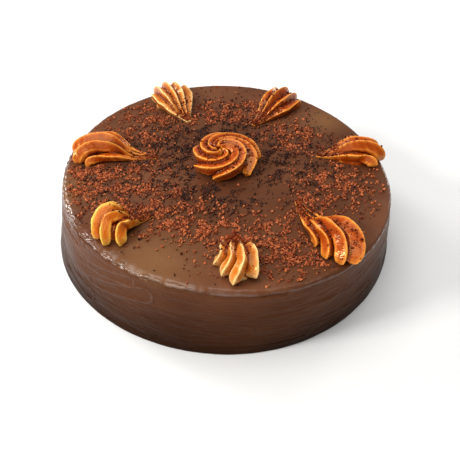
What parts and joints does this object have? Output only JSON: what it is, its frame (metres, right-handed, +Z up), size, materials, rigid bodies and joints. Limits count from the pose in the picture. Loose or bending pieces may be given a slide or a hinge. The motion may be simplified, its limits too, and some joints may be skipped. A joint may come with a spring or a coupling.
{
  "type": "chocolate-glazed torte",
  "caption": "Whole round chocolate torte under a dark spread glaze, with piped orange cream shells round the rim, a piped rosette in the middle and chocolate crumbs on top.",
  "frame": {"origin": "centre of the cake's flat underside", "axes": "+Z up through the cake; -Y is the pictured front, +X the picture's right"},
  "size_m": [0.2506, 0.235, 0.0726],
  "materials": {
    "chocolate_glaze": "satin dark chocolate glaze spread with a spatula; crumbs of grated chocolate on top",
    "piped_cream": "soft satin orange butter cream, piped through a star tip"
  },
  "bodies": {
    "root": {"cake": "chocolate_glaze", "rosette": "piped_cream", "shell_1": "piped_cream", "shell_2": "piped_cream", "shell_3": "piped_cream", "shell_4": "piped_cream", "shell_5": "piped_cream", "shell_6": "piped_cream", "shell_7": "piped_cream"}
  },
  "joints": []
}
